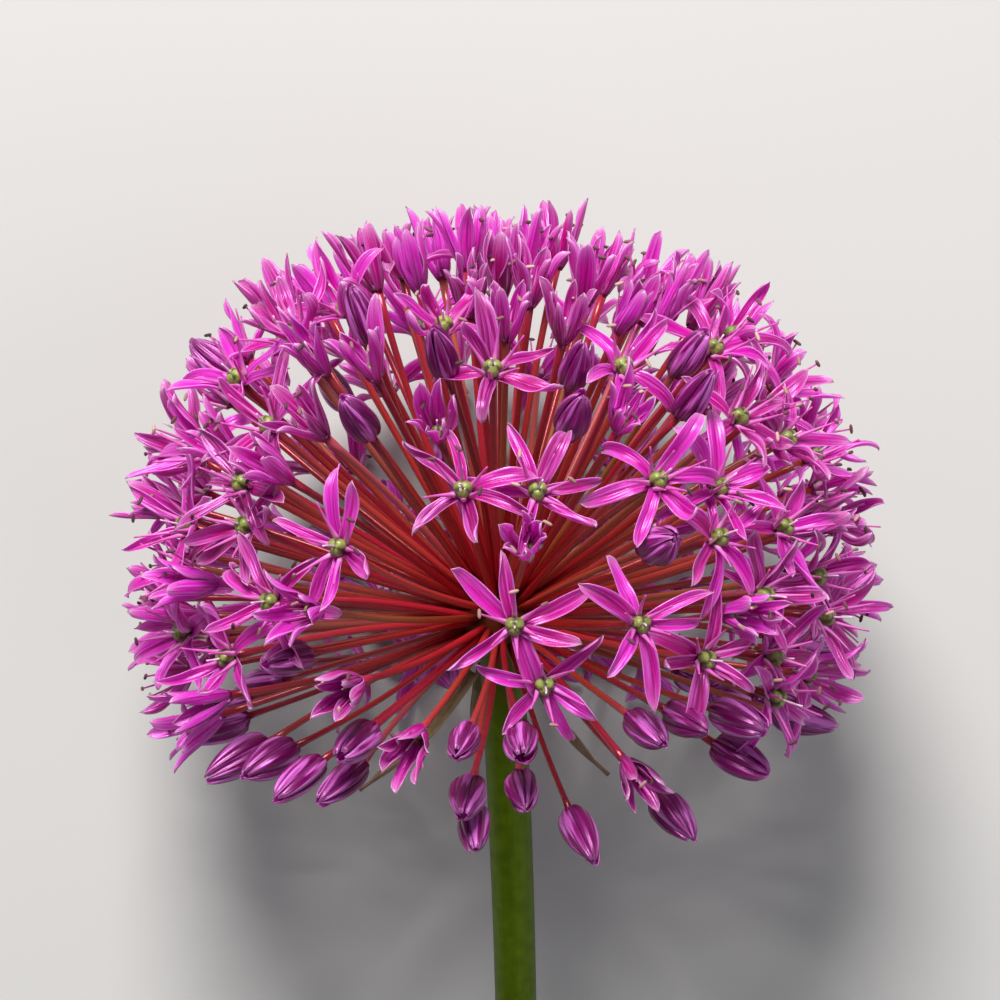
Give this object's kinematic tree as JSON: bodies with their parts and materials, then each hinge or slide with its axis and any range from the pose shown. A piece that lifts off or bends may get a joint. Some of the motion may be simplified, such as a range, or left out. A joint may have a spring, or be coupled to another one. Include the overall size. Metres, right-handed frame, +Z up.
{
  "type": "allium flower head",
  "caption": "Round head of star-shaped purple florets on thin red-brown stalks, on a short cut green stem that lies on a surface.",
  "frame": {"origin": "on the surface the head lies on, under the middle of its box", "axes": "+Z up from the surface; the stem points towards -Y and the top of the head towards +Y; +X is the right side of the head seen from above"},
  "size_m": [0.0874, 0.175, 0.0856],
  "materials": {
    "floret": "fresh petals with a soft satin sheen on glossy red-brown stalks",
    "tepal": "soft satin petal with darker veins and paler edges",
    "pedicel": "smooth waxy stalk, crimson to red-brown",
    "filament": "pale pink-lilac thread",
    "anther": "matt, dusty with pollen",
    "ovary": "waxy olive green",
    "scape": "smooth waxy green stem with fine ribs",
    "spathe": "dry papery bract with parallel veins"
  },
  "bodies": {
    "root": {"cyme_01": "floret", "cyme_02": "floret", "cyme_03": "floret", "cyme_04": "floret", "cyme_05": "floret", "cyme_06": "floret", "cyme_07": "floret", "cyme_08": "floret", "cyme_09": "floret", "cyme_10": "floret", "cyme_11": "floret", "cyme_12": "floret", "cyme_13": "floret", "cyme_14": "floret", "cyme_15": "floret", "cyme_16": "floret", "cyme_17": "floret", "cyme_18": "floret", "cyme_19": "floret", "cyme_20": "floret", "cyme_21": "floret", "cyme_22": "floret", "cyme_23": "floret", "cyme_24": "floret", "cyme_25": "floret", "cyme_26": "floret", "cyme_27": "floret", "cyme_28": "floret", "cyme_29": "floret", "cyme_30": "floret", "cyme_31": "floret", "cyme_32": "floret", "cyme_33": "floret", "cyme_34": "floret", "cyme_35": "floret", "cyme_36": "floret", "cyme_37": "floret", "cyme_38": "floret", "cyme_39": "floret", "cyme_40": "floret", "cyme_41": "floret", "cyme_42": "floret", "cyme_43": "floret", "cyme_44": "floret", "cyme_45": "floret", "cyme_46": "floret", "cyme_47": "floret", "cyme_48": "floret", "cyme_49": "floret", "cyme_50": "floret", "cyme_51": "floret", "scape": "scape", "spathe_bract_1": "spathe", "spathe_bract_2": "spathe", "spathe_bract_3": "spathe"}
  },
  "joints": []
}
